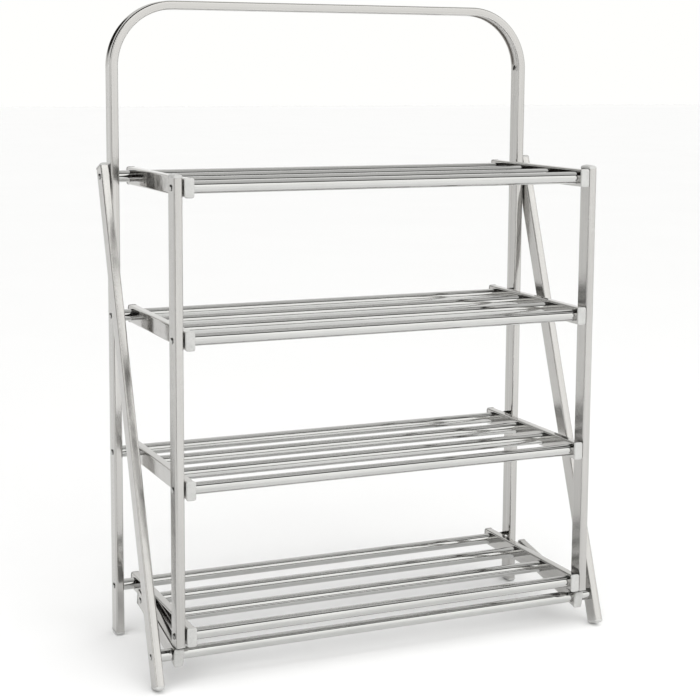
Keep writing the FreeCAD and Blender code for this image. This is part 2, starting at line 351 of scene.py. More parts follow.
class Finish:
    """A node tree that is being filled; node() adds any node and gives one of its outputs."""

    def __init__(self, tree):
        self.tree = tree
        tree.nodes.clear()

    def node(self, kind, settings=None, inputs=None, output=0):
        made = self.tree.nodes.new(kind)
        for key, value in (settings or {}).items():
            if key == "stops":
                self.set_stops(made.color_ramp, value)
            else:
                setattr(made, key, value)
        for key, value in (inputs or {}).items():
            if isinstance(value, Value):
                self.tree.links.new(value.socket, made.inputs[key])
            else:
                made.inputs[key].default_value = value
        return Value(self, made.outputs[output]) if made.outputs else None

    @staticmethod
    def set_stops(ramp, stops):
        while len(ramp.elements) < len(stops):
            ramp.elements.new(1)
        for element, (place, colour) in zip(ramp.elements, stops):
            element.position = place
            element.color = colour

    def place(self):
        """The point on the object, in metres."""
        return self.node("ShaderNodeTexCoord", {}, {}, "Object")

    def attribute(self, name):
        return self.node("ShaderNodeAttribute", {"attribute_name": name}, {}, "Fac")

    def range(self, value, low, high, to_low=0, to_high=1):
        """Map a number from one range to another, held at its ends."""
        return self.node("ShaderNodeMapRange", {"clamp": True},
                         {0: value, 1: low, 2: high, 3: to_low, 4: to_high})

    def mix(self, factor, first, second):
        """Mix two colours."""
        return self.node("ShaderNodeMix", {"data_type": "RGBA"}, {0: factor, 6: first, 7: second}, 2)

    def shades(self, value, colour, darker, lighter):
        """A colour that wanders between a darker and a lighter tint of itself with a noise."""
        return self.mix(self.range(value, 0.35, 0.65), tinted(colour, darker), tinted(colour, lighter))

    def noise(self, place, scale, detail, roughness=0.5):
        return self.node("ShaderNodeTexNoise", {},
                         {"Vector": place, "Scale": scale, "Detail": detail, "Roughness": roughness})

    def bump(self, height, distance, strength, normal=None):
        inputs = {"Height": height, "Distance": distance, "Strength": strength}
        if normal is not None:
            inputs["Normal"] = normal
        return self.node("ShaderNodeBump", {}, inputs)


def new_finish(name):
    material = bpy.data.materials.new(name)
    material.use_nodes = True
    return Finish(material.node_tree)


def close(finish, inputs):
    """End a material with its Principled shader."""
    shader = finish.node("ShaderNodeBsdfPrincipled", {}, inputs)
    finish.node("ShaderNodeOutputMaterial", {}, {"Surface": shader})


def tinted(colour, factor):
    """A colour of a property made lighter or darker, with its alpha."""
    return (*(min(1.0, part * factor) for part in colour), 1.0)


# The polish: how many lines, waves, clouds and prints it has to the metre, and how deep they are.
LINE_SCALE = 2400
WAVE_SCALE = 260
CLOUD_SCALE = 14
PRINT_SCALE = 60
LINE_DEPTH = 0.00002
WAVE_DEPTH = 0.00012
# How many times finer the polish is across a tube than along it, turned over.
STRETCH = 0.02
# How far the lines raise the roughness, as a share of it.
LINE_ROUGHNESS = 0.35
# Dark brown for the bends' grooves: partly unpolished steel, mostly painted shade.
UNPOLISHED_AND_SHADE = (0.075, 0.062, 0.05, 1)


def polish_marks(finish, drawn):
    """The lines and waves that polishing left along a tube, and the normal that they give."""
    lines = finish.noise(drawn, LINE_SCALE, 4, 0.65)
    waves = finish.noise(drawn, WAVE_SCALE, 2)
    fine = finish.bump(lines, LINE_DEPTH, 0.25)
    return lines, waves, finish.bump(waves, WAVE_DEPTH, 0.2, fine)


def steel(name, colour, lengthwise, turn, roughness):
    """Polished steel whose drawing lines run along one axis of the tube, turned about X."""
    finish = new_finish(name)
    where = finish.place()
    scale = [1.0, 1.0, 1.0]
    scale[lengthwise] = STRETCH
    turned = finish.node("ShaderNodeMapping", {}, {"Vector": where, "Rotation": (turn, 0, 0)})
    drawn = finish.node("ShaderNodeMapping", {}, {"Vector": turned, "Scale": scale})
    lines, waves, normal = polish_marks(finish, drawn)
    cloud = finish.noise(where, CLOUD_SCALE, 3, 0.6)
    prints = finish.noise(where, PRINT_SCALE, 2, 0.45)
    smudge = finish.range(cloud * prints, 0.22, 0.36)
    tint = finish.shades(waves * 0.6 + cloud * 0.4, colour, 0.93, 1.05)
    rough = roughness + lines * (roughness * LINE_ROUGHNESS) + smudge * 0.07
    close(finish, {"Base Color": tint, "Metallic": 1.0, "Roughness": rough, "Normal": normal})


def hoop_steel(name, colour, roughness):
    """The same polish on the bent tube, whose lines follow the bend by its attributes."""
    finish = new_finish(name)
    where = finish.place()
    missed = finish.attribute("missed")
    depth = finish.node("ShaderNodeSeparateXYZ", {}, {"Vector": where}, "Y")
    drawn = finish.node("ShaderNodeCombineXYZ", {}, {"X": finish.attribute("across"), "Y": depth,
                                                     "Z": finish.attribute("along") * STRETCH})
    lines, waves, normal = polish_marks(finish, drawn)
    smudge = finish.range(finish.noise(where, CLOUD_SCALE, 3, 0.6), 0.45, 0.7)
    # Painted shade: the groove walls are mixed towards a dark brown, and their roughness is raised as
    # unpolished steel.
    tint = finish.mix(missed * 0.85, finish.shades(waves, colour, 0.94, 1.05), UNPOLISHED_AND_SHADE)
    rough = roughness + lines * (roughness * LINE_ROUGHNESS) + smudge * 0.06 + missed * 0.12
    close(finish, {"Base Color": tint, "Metallic": 1.0, "Roughness": rough, "Normal": normal})


def rivet_finish(name, colour):
    """Tumbled rivet steel with fine pits and darker smears."""
    finish = new_finish(name)
    where = finish.place()
    grain = finish.noise(where, 1900, 5, 0.7)
    tint = finish.shades(finish.noise(where, 220, 2), colour, 0.85, 1.1)
    close(finish, {"Base Color": tint, "Metallic": 1.0, "Roughness": 0.12 + grain * 0.16,
                   "Normal": finish.bump(grain, 0.00003, 0.4)})


def plastic(name, colour, roughness, speckle, milkiness):
    """Moulded plastic: eroded skin, faint flow marks and fine darker speckles."""
    finish = new_finish(name)
    where = finish.place()
    skin = finish.noise(where, 2600, 3, 0.6)
    flow = finish.noise(where, 90, 2, 0.4)
    cell = finish.node("ShaderNodeTexVoronoi", {"feature": "F1"}, {"Vector": where, "Scale": 600})
    fleck = finish.range(cell, 0.12, 0.3, 1, 0) * speckle
    tint = finish.mix(fleck, finish.shades(flow, colour, 0.95, 1.04), tinted(colour, 0.6))
    close(finish, {"Base Color": tint, "Roughness": roughness + skin * 0.15 + flow * 0.05, "IOR": 1.5,
                   "Subsurface Weight": milkiness, "Subsurface Radius": (0.002, 0.002, 0.002),
                   "Subsurface Scale": 1.0, "Normal": finish.bump(skin, 0.00004, 0.35)})


def matt_finish(name, colour):
    """Matt paper or felt with slow clouds and a barely visible tooth."""
    finish = new_finish(name)
    where = finish.place()
    cloud = finish.noise(where, 1.5, 2)
    tint = finish.mix(cloud, tinted(colour, 0.985), tinted(colour, 1.01))
    normal = finish.bump(finish.noise(where, 800, 2), 0.0001, 0.1)
    close(finish, {"Base Color": tint, "Roughness": 0.9, "Specular IOR Level": 0.0, "Normal": normal})


def glowing_paper(name, level):
    """White paper whose light is painted on: it glows by its own emission, a little cloudy, and is no
    lamp.
    """
    finish = new_finish(name)
    cloud = finish.noise(finish.place(), 0.8, 2)
    tint = finish.mix(cloud, (0.97, 0.965, 0.95, 1), (1, 1, 0.99, 1))
    close(finish, {"Base Color": (0, 0, 0, 1), "Specular IOR Level": 0.0, "Emission Color": tint,
                   "Emission Strength": level})


def make_finishes(colours):
    """Every finish of the rack and its studio, each kept under its name."""
    flat = colours.flat_steel
    along_x, along_y, along_z = range(3)
    hoop_steel("polished_hoop_steel", flat, 0.10)
    steel("polished_post_steel", flat, along_z, 0, 0.17)
    steel("polished_rail_steel", flat, along_y, 0, 0.06)
    steel("polished_leg_steel", flat, along_z, LEG_LEAN, 0.15)
    steel("polished_link_steel", flat, along_y, -LINK_RISE, 0.10)
    steel("mirror_round_steel", colours.round_steel, along_x, 0, 0.045)
    rivet_finish("tumbled_rivet_steel", colours.rivet_steel)
    plastic("light_cap_plastic", colours.cap_grey, 0.32, speckle=0.9, milkiness=0.0)
    plastic("milky_foot_plastic", colours.foot_grey, 0.42, speckle=0.2, milkiness=0.15)
    plastic("natural_nylon", colours.nylon, 0.45, speckle=0.1, milkiness=0.1)
    matt_finish("pale_floor", colours.floor)
    matt_finish("black_felt", (0.012, 0.01, 0.009))
    glowing_paper("glowing_paper", 1.36)


# ---------------------------------------------------------------- the hoop

BEND_STEPS = 36
# Straight tube beside each bend, where the bending's marks run out.
GRIP = 0.024
GRIP_STEPS = 12
# The marks of bending, in metres. A span gives how far off the middle line a mark is full and
# where it has gone; a start gives where it begins past the end of a bend and where it is full.
GROOVE_SPAN = (0.002, 0.0092)
GROOVE_START = (-0.004, 0.010)
HOLLOW_SPAN = (0.0005, 0.0102)
HOLLOW_START = (0.001, 0.006)
DIMPLE_PLACE = (0.002, -0.0065)
DIMPLE_RADIUS = 0.0034
DIMPLE_STRETCH = 1.6
# Where each wall of the groove is painted darker, as duller unpolished steel and painted shade: how far
# off the middle the darkening begins and ends.
UNPOLISHED_SHADE_FRONT = ((0.0005, 0.0025), (0.0066, 0.0086))
UNPOLISHED_SHADE_REAR = ((0.0040, 0.0060), (0.0072, 0.0090))
UNPOLISHED_SHADE_START = (0.002, 0.012)


def ramp_in(value, start, end):
    """0 before start, 1 after end, and smooth between."""
    share = min(1.0, max(0.0, (value - start) / (end - start)))
    return share * share * (3 - 2 * share)


def press(piece, depth, weight):
    """Push the surface in along its normals, by a depth times a weight from 0 to 1 at each point."""
    group = piece.vertex_groups.new(name="press")
    for vertex in piece.data.vertices:
        share = weight(vertex.co)
        if share > 0:
            group.add([vertex.index], share, "REPLACE")
    apply_modifier(piece, "DISPLACE", direction="NORMAL", strength=-depth, mid_level=0,
                   vertex_group=group.name)
    piece.vertex_groups.clear()


class Bends:
    """The hoop's two like bends, and where a point lies on the bent tube."""

    def __init__(self, radius):
        low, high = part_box("hoop_frame")
        self.radius = radius
        self.leg_x = high.x - FLAT_THIN / 2
        self.foot_z = low.z
        self.x = self.leg_x - radius
        self.y = (low.y + high.y) / 2
        self.z = high.z - FLAT_THIN / 2 - radius

    def place(self, point):
        """How far a point is along the tube from its bend's start, how far out, and how far back."""
        x = abs(point.x) - self.x
        z = point.z - self.z
        if z < 0:
            along, out = z, x - self.radius
        elif x < 0:
            along, out = QUARTER * self.radius - x, z - self.radius
        else:
            along, out = math.atan2(z, x) * self.radius, math.hypot(x, z) - self.radius
        return along, out, point.y - self.y

    def into(self, along):
        """How far into its bend a point is from the nearer end."""
        return min(along, QUARTER * self.radius - along)


class OBJECT_OT_rack_hoop(bpy.types.Operator):
    """Bend the rear hoop from one flat tube, with the creases that the bending left"""

    bl_idname = "object.rack_hoop"
    bl_label = "Rear hoop"

    def execute(self, context):
        sizes = context.scene.rack_sizes
        bends = Bends(sizes.bend_radius)
        piece = self.profile(sizes, (-bends.leg_x, bends.y, bends.foot_z))
        rise = bends.z - GRIP - bends.foot_z
        with editing(piece):
            bpy.ops.mesh.select_all(action="SELECT")
            self.run((0, 0, rise), 1)
            self.run((0, 0, GRIP), GRIP_STEPS)
            self.turn((-bends.x, bends.y, bends.z))
            self.run((GRIP, 0, 0), GRIP_STEPS)
            self.run((2 * (bends.x - GRIP), 0, 0), 1)
            self.run((GRIP, 0, 0), GRIP_STEPS)
            self.turn((bends.x, bends.y, bends.z))
            self.run((0, 0, -GRIP), GRIP_STEPS)
            self.run((0, 0, -rise), 1)
            bpy.ops.mesh.select_all(action="SELECT")
            bpy.ops.mesh.remove_doubles(threshold=0.00001)
            bpy.ops.mesh.normals_make_consistent(inside=False)
        self.crease(piece, sizes, bends)
        apply_modifier(piece, "SOLIDIFY", thickness=sizes.flat_wall, offset=-1)
        holes = [(side * bends.leg_x, bends.y, middle(f"tier_{tier}_axle_tube").z,
                  sizes.shank_radius + LOOSE) for side in SIDES.values() for tier in TIERS]
        bore(piece, holes, sizes.hole_edge)
        choose(piece)
        bpy.ops.object.shade_smooth_by_angle(angle=math.radians(50))
        self.measure(piece, bends)
        fit_out(piece, "rear_frame", "polished_hoop_steel", "hoop_frame")
        return {"FINISHED"}

    @staticmethod
    def profile(sizes, place):
        """The rounded section as a ring of edges at the foot of the left leg."""
        clear_selection()
        bpy.ops.mesh.primitive_plane_add(size=1, location=place)
        piece = bpy.context.object
        piece.name = piece.data.name = "hoop_bent_tube"
        piece.scale = (FLAT_THIN, FLAT_DEEP, 1)
        settle(piece)
        with editing(piece):
            bpy.ops.mesh.select_all(action="SELECT")
            bpy.ops.mesh.bevel(offset=sizes.flat_corner, segments=6, affect="VERTICES")
            bpy.ops.mesh.delete(type="ONLY_FACE")
            pick(piece, "EDGE", lambda edge: run_of(edge).y > FLAT_DEEP / 2)
            bpy.ops.mesh.subdivide(number_cuts=19)
            pick(piece, "EDGE", lambda edge: run_of(edge).x > FLAT_THIN / 4)
            bpy.ops.mesh.subdivide(number_cuts=5)
        return piece

    @staticmethod
    def run(step, count):
        """Extrude the open end of the tube along a straight run."""
        for _ in range(count):
            bpy.ops.mesh.extrude_region_move(TRANSFORM_OT_translate={"value": Vector(step) / count})

    @staticmethod
    def turn(centre):
        """Spin the open end of the tube through a quarter turn, from rising to level or on to falling."""
        bpy.ops.mesh.spin(steps=BEND_STEPS, angle=-QUARTER, center=centre, axis=(0, 1, 0))

    @staticmethod
    def crease(piece, sizes, bends):
        """Groove the inside of the bends, flatten the outside and dent the former's marks."""
        # Only the flat faces are pressed, and not the rounded corners between them.
        face = FLAT_THIN / 2 - 0.0002

        def groove(point):
            along, out, back = bends.place(point)
            if out > -face:
                return 0
            return (1 - ramp_in(abs(back), *GROOVE_SPAN)) * ramp_in(bends.into(along), *GROOVE_START)

        def hollow(point):
            along, out, back = bends.place(point)
            if out < face:
                return 0
            return (1 - ramp_in(abs(back), *HOLLOW_SPAN)) * ramp_in(bends.into(along), *HOLLOW_START)

        def dimple(point):
            along, out, back = bends.place(point)
            if out > -face:
                return 0
            middle_along, middle_back = DIMPLE_PLACE
            away = math.hypot((bends.into(along) - middle_along) / DIMPLE_STRETCH, back - middle_back)
            return 1 - ramp_in(away, 0, DIMPLE_RADIUS)

        press(piece, sizes.inner_crush, groove)
        press(piece, sizes.outer_crush, hollow)
        press(piece, sizes.dimple, dimple)

    @staticmethod
    def measure(piece, bends):
        """Write how far along and across the tube each point is, and where the groove is painted darker,
        as unpolished steel and painted shade.
        """
        marks = piece.data.attributes
        for name in ("along", "across", "missed"):
            marks.new(name, "FLOAT", "POINT")
        for index, vertex in enumerate(piece.data.vertices):
            along, out, back = bends.place(vertex.co)
            marks["along"].data[index].value = along
            marks["across"].data[index].value = out
            # Painted shade with unpolished steel on the walls of the groove inside each bend.
            if out < 0:
                begin, end = UNPOLISHED_SHADE_FRONT if back < 0 else UNPOLISHED_SHADE_REAR
                wall = ramp_in(abs(back), *begin) * (1 - ramp_in(abs(back), *end))
                marks["missed"].data[index].value = wall * ramp_in(bends.into(along), *UNPOLISHED_SHADE_START)


# ---------------------------------------------------------------- straight flat tube


class OBJECT_OT_rack_posts(bpy.types.Operator):
    """Cut and drill the two front posts"""

    bl_idname = "object.rack_posts"
    bl_label = "Front posts"

    def execute(self, context):
        sizes = context.scene.rack_sizes
        low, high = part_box("post_right")
        start = placed(flat_tube("post", high.z - low.z, sizes), 0, 0, FRONT_AXLE_Y, low.z)
        hole = sizes.shank_radius + LOOSE
        holes = [(0, FRONT_AXLE_Y, middle(f"tier_{tier}_shelf_tube_3").z, hole) for tier in TIERS]
        bore(start, holes, sizes.hole_edge)
        smooth(start)
        for name in SIDES:
            node = f"post_{name}"
            post = placed(copy_of(start, f"{name}_post_tube"), 0, middle(node).x, 0, 0)
            fit_out(post, node, "polished_post_steel", node)
        discard(start)
        return {"FINISHED"}


def slanted_start(node, slant):
    """For a slanting flat tube: the y and z where its middle line starts, its length, and its x."""
    low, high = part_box(node)
    half = FLAT_DEEP / 2
    length = (high.z - low.z - 2 * half * math.sin(slant)) / math.cos(slant)
    start_y = low.y + half * math.cos(slant)
    start_z = low.z + half * math.sin(slant)
    return start_y, start_z, length, (low.x + high.x) / 2


def slanted_tube(name, node, slant, sizes, holes):
    """Flat tube that leans back from upright along a node, drilled with (y, z, radius) holes."""
    y, z, length, x = slanted_start(node, slant)
    tube = placed(flat_tube(name, length, sizes), -slant, x, y, z)
    bore(tube, [(x, *hole) for hole in holes], sizes.hole_edge)
    smooth(tube)
    return tube


class OBJECT_OT_rack_legs(bpy.types.Operator):
    """Cut and drill the two slanting front legs"""

    bl_idname = "object.rack_legs"
    bl_label = "Front legs"

    def execute(self, context):
        sizes = context.scene.rack_sizes
        holes = [(axle.y, axle.z, sizes.shank_radius + LOOSE) for axle in (TOP_AXLE, CROSS_AXLE)]
        for name in SIDES:
            node = f"front_leg_{name}"
            leg = slanted_tube(f"{name}_front_leg_tube", node, LEG_LEAN, sizes, holes)
            fit_out(leg, "front_legs", "polished_leg_steel", node)
        return {"FINISHED"}


class OBJECT_OT_rack_links(bpy.types.Operator):
    """Cut and drill the two link arms beside the bottom shelf"""

    bl_idname = "object.rack_links"
    bl_label = "Link arms"

    def execute(self, context):
        sizes = context.scene.rack_sizes
        holes = [(CROSS_AXLE.y, CROSS_AXLE.z, ROUND_RADIUS + LOOSE),
                 (LINK_AXLE.y, LINK_AXLE.z, sizes.shank_radius + SNUG)]
        for name in SIDES:
            node = f"link_{name}"
            link = slanted_tube(f"{name}_link_tube", node, LINK_SLANT, sizes, holes)
            fit_out(link, node, "polished_link_steel", node)
        return {"FINISHED"}


class OBJECT_OT_rack_rails(bpy.types.Operator):
    """Cut and drill a left and a right shelf rail, and copy them to every tier"""

    bl_idname = "object.rack_rails"
    bl_label = "Shelf rails"

    def execute(self, context):
        sizes = context.scene.rack_sizes
        for name, side in SIDES.items():
            low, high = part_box(f"tier_1_rail_{name}")
            x = (low.x + high.x) / 2
            start = placed(flat_tube("rail", high.y - low.y, sizes), QUARTER, x, high.y, 0)
            inward = x - side * FLAT_THIN
            holes = [(x, TOP_AXLE.y, 0, ROUND_RADIUS + SNUG)]
            holes += [(inward, middle(f"tier_1_shelf_tube_{tube}").y, 0, ROUND_RADIUS + SNUG)
                      for tube in SHELF_TUBES]
            holes.append((x, FRONT_AXLE_Y, 0, sizes.shank_radius + SNUG))
            bore(start, holes, sizes.hole_edge)
            smooth(start)
            for tier in TIERS:
                node = f"tier_{tier}_rail_{name}"
                rail = placed(copy_of(start, f"tier_{tier}_{name}_rail_tube"), 0, 0, 0, middle(node).z)
                fit_out(rail, f"tier_{tier}", "polished_rail_steel", node)
            discard(start)
        return {"FINISHED"}


# ---------------------------------------------------------------- round tube


def round_tube(name, half_length, wall):
    """Round tube along X through the origin, with broken edges."""
    clear_selection()
    bpy.ops.mesh.primitive_cylinder_add(vertices=64, radius=ROUND_RADIUS, depth=2 * half_length,
                                        end_fill_type="NOTHING", rotation=(0, QUARTER, 0))
    tube = bpy.context.object
    tube.name = tube.data.name = name
    settle(tube)
    apply_modifier(tube, "SOLIDIFY", thickness=wall, offset=-1)
    with editing(tube):
        pick(tube, "EDGE", lambda edge: run_of(edge).x < 0.00001 and on_end_circle(edge, half_length))
        bpy.ops.mesh.bevel(offset=wall / 3, segments=2, affect="EDGES")
    smooth(tube)
    return tube


def on_end_circle(edge, half_length):
    """True for an edge round the rim of a tube's end, and not for one through its wall."""
    inner, outer = sorted(math.hypot(v.co.y, v.co.z) for v in edge.verts)
    return abs(edge.verts[0].co.x) > half_length * 0.999 and outer - inner < 0.0001


class OBJECT_OT_rack_round_tubes(bpy.types.Operator):
    """Cut the axle tubes, the shelf tubes and the front cross bar"""

    bl_idname = "object.rack_round_tubes"
    bl_label = "Round tubes"

    def execute(self, context):
        sizes = context.scene.rack_sizes
        axle = round_tube("axle", outer_x("tier_1_axle_tube"), sizes.round_wall)
        shelf = round_tube("shelf", outer_x("tier_1_shelf_tube_1"), sizes.round_wall)
        for tier in TIERS:
            tube = copy_of(axle, f"tier_{tier}_axle_bar")
            self.set_tube(tube, f"tier_{tier}", f"tier_{tier}_axle_tube")
            for number in SHELF_TUBES:
                tube = copy_of(shelf, f"tier_{tier}_shelf_bar_{number}")
                self.set_tube(tube, f"tier_{tier}", f"tier_{tier}_shelf_tube_{number}")
        discard(axle)
        discard(shelf)
        cross = round_tube("front_cross_bar", outer_x("front_cross_tube"), sizes.round_wall)
        self.set_tube(cross, "front_legs", "front_cross_tube")
        return {"FINISHED"}

    @staticmethod
    def set_tube(tube, body, node):
        """Move a tube from the origin to its node's middle line and finish it."""
        placed(tube, 0, *middle(node))
        fit_out(tube, body, "mirror_round_steel", node)


# ---------------------------------------------------------------- caps and feet


def end_cap(name, thick, edge, crown, plug, sizes):
    """A cap for the start of a flat tube: its lip lies below Z = 0 and its plug above.

    The outer face is rounded over its edge and crowned in the middle.
    """
    half_thin = FLAT_THIN / 2 + CAP_LIP
    half_deep = FLAT_DEEP / 2 + CAP_LIP
    shoulder = thick - edge - crown
    cap = flat_bar(name, 2 * half_thin, 2 * half_deep, sizes.flat_corner + CAP_LIP, -shoulder, 0, 8)
    steps = 7
    rings = []
    for step in range(1, steps + 1):
        turn = QUARTER * step / steps
        rings.append((edge * (1 - math.cos(turn)), edge * math.sin(turn)))
    for share in (0.3, 0.6, 0.85):
        rings.append((edge + (half_thin - edge) * share, edge + crown * (1 - (1 - share) ** 2)))
    with editing(cap):
        pick(cap, "FACE", lambda face: face.normal.z < -0.9)
        was_in, was_down = 0.0, 0.0
        for inward, down in rings:
            bpy.ops.mesh.extrude_region_move(
                TRANSFORM_OT_translate={"value": (0, 0, was_down - down)})
            scale = [(half - inward) / (half - was_in) for half in (half_thin, half_deep)]
            bpy.ops.transform.resize(value=(*scale, 1), center_override=(0, 0, -shoulder - down))
            was_in, was_down = inward, down
        pick(cap, "FACE", lambda face: face.normal.z > 0.9)
        bpy.ops.mesh.inset(thickness=CAP_LIP + sizes.flat_wall + SNUG)
        bpy.ops.mesh.extrude_region_move(TRANSFORM_OT_translate={"value": (0, 0, plug * 0.8)})
        bpy.ops.mesh.extrude_region_move(TRANSFORM_OT_translate={"value": (0, 0, plug * 0.2)})
        bpy.ops.transform.resize(value=(0.94, 0.97, 1), center_override=(0, 0, plug))
        pick(cap, "EDGE", lambda rim: on_lip(rim, half_thin, half_deep))
        bpy.ops.mesh.bevel(offset=0.00025, segments=2, affect="EDGES")
    smooth(cap, 50)
    return cap


def on_lip(edge, half_thin, half_deep):
    """True for an edge round the cap's lip where it meets the tube."""
    for vertex in edge.verts:
        near_side = abs(vertex.co.x) > half_thin * 0.8 or abs(vertex.co.y) > half_deep * 0.89
        if abs(vertex.co.z) > 0.00001 or not near_side:
            return False
    return all(outside_tube(vertex.co) for vertex in edge.verts)


def outside_tube(point):
    """True if a point of a section lies outside the flat tube's own outline."""
    return abs(point.x) > FLAT_THIN / 2 - 0.0019 or abs(point.y) > FLAT_DEEP / 2 - 0.0001


def turned_over(cap, length):
    """The same cap for the far end of a flat tube of that length."""
    return placed(cap, math.pi, 0, 0, length)


class OBJECT_OT_rack_caps(bpy.types.Operator):
    """Mould the end caps of the rails, posts, legs and links, and the feet"""

    bl_idname = "object.rack_caps"
    bl_label = "Caps and feet"

    def execute(self, context):
        sizes = context.scene.rack_sizes
        short_plug = 0.0016
        long_plug = 0.012
        flat_cap = end_cap("flat_cap", CAP_THICK, sizes.cap_edge, 0.0003, short_plug, sizes)
        dome = end_cap("dome", DOME_THICK, sizes.dome_edge, 0.0007, short_plug, sizes)
        thin_cap = end_cap("thin_cap", THIN_THICK, sizes.thin_edge, 0.0002, short_plug, sizes)
        foot = end_cap("foot", FOOT_THICK, sizes.foot_edge, 0.0006, long_plug, sizes)
        self.rail_caps(flat_cap)
        self.post_caps(dome, thin_cap)
        self.leg_caps(dome)
        self.link_caps(flat_cap)
        self.feet(foot)
        for pattern in (flat_cap, dome, thin_cap, foot):
            discard(pattern)
        return {"FINISHED"}

    @staticmethod
    def fit_cap(cap, body, node):
        fit_out(cap, body, "light_cap_plastic", node)

    def rail_caps(self, pattern):
        for tier in TIERS:
            caps = []
            for name in SIDES:
                node = f"tier_{tier}_rail_{name}"
                low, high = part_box(node)
                centre = middle(node)
                rear = placed(copy_of(pattern, "cap"), QUARTER, centre.x, high.y, centre.z)
                front = turned_over(copy_of(pattern, "cap"), high.y - low.y)
                caps += [rear, placed(front, QUARTER, centre.x, high.y, centre.z)]
            caps = joined(f"tier_{tier}_rail_end_caps", caps)
            self.fit_cap(caps, f"tier_{tier}", f"tier_{tier}_rail_caps")

    def post_caps(self, dome, thin_cap):
        for name in SIDES:
            node = f"post_{name}"
            low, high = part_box(node)
            top = turned_over(copy_of(dome, f"{name}_post_dome"), high.z - low.z)
            base = copy_of(thin_cap, f"{name}_post_base")
            for cap in (top, base):
                placed(cap, 0, middle(node).x, FRONT_AXLE_Y, low.z)
            self.fit_cap(top, node, f"{node}_top_cap")
            self.fit_cap(base, node, f"{node}_bottom_cap")

    def leg_caps(self, dome):
        caps = []
        for name in SIDES:
            y, z, length, x = slanted_start(f"front_leg_{name}", LEG_LEAN)
            caps.append(placed(turned_over(copy_of(dome, "cap"), length), -LEG_LEAN, x, y, z))
        self.fit_cap(joined("front_leg_domes", caps), "front_legs", "front_leg_top_caps")

    def link_caps(self, pattern):
        for name in SIDES:
            node = f"link_{name}"
            y, z, length, x = slanted_start(node, LINK_SLANT)
            near = copy_of(pattern, "cap")
            far = turned_over(copy_of(pattern, "cap"), length)
            caps = [placed(cap, -LINK_SLANT, x, y, z) for cap in (near, far)]
            self.fit_cap(joined(f"{name}_link_end_caps", caps), node, f"{node}_caps")

    def feet(self, pattern):
        rear, front = [], []
        low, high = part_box("hoop_frame")
        for name, side in SIDES.items():
            x = side * (high.x - FLAT_THIN / 2)
            rear.append(placed(copy_of(pattern, "foot"), 0, x, TOP_AXLE.y, low.z))
            y, z, _, x = slanted_start(f"front_leg_{name}", LEG_LEAN)
            foot = placed(copy_of(pattern, "foot"), -LEG_LEAN, x, y, z)
            with editing(foot):
                bpy.ops.mesh.select_all(action="SELECT")
                bpy.ops.mesh.bisect(plane_co=(0, 0, 0), plane_no=(0, 0, -1), use_fill=True,
                                    clear_outer=True, threshold=0.000001)
            smooth(foot, 50)
            front.append(foot)
        fit_out(joined("rear_foot_caps", rear), "rear_frame", "milky_foot_plastic",
                "rear_feet")
        fit_out(joined("front_foot_caps", front), "front_legs", "milky_foot_plastic",
                "front_feet")


# ---------------------------------------------------------------- rivets

# Length of shank that the pattern of the rivets has, before it is drawn out to its place.
SHANK_STUB = 0.001


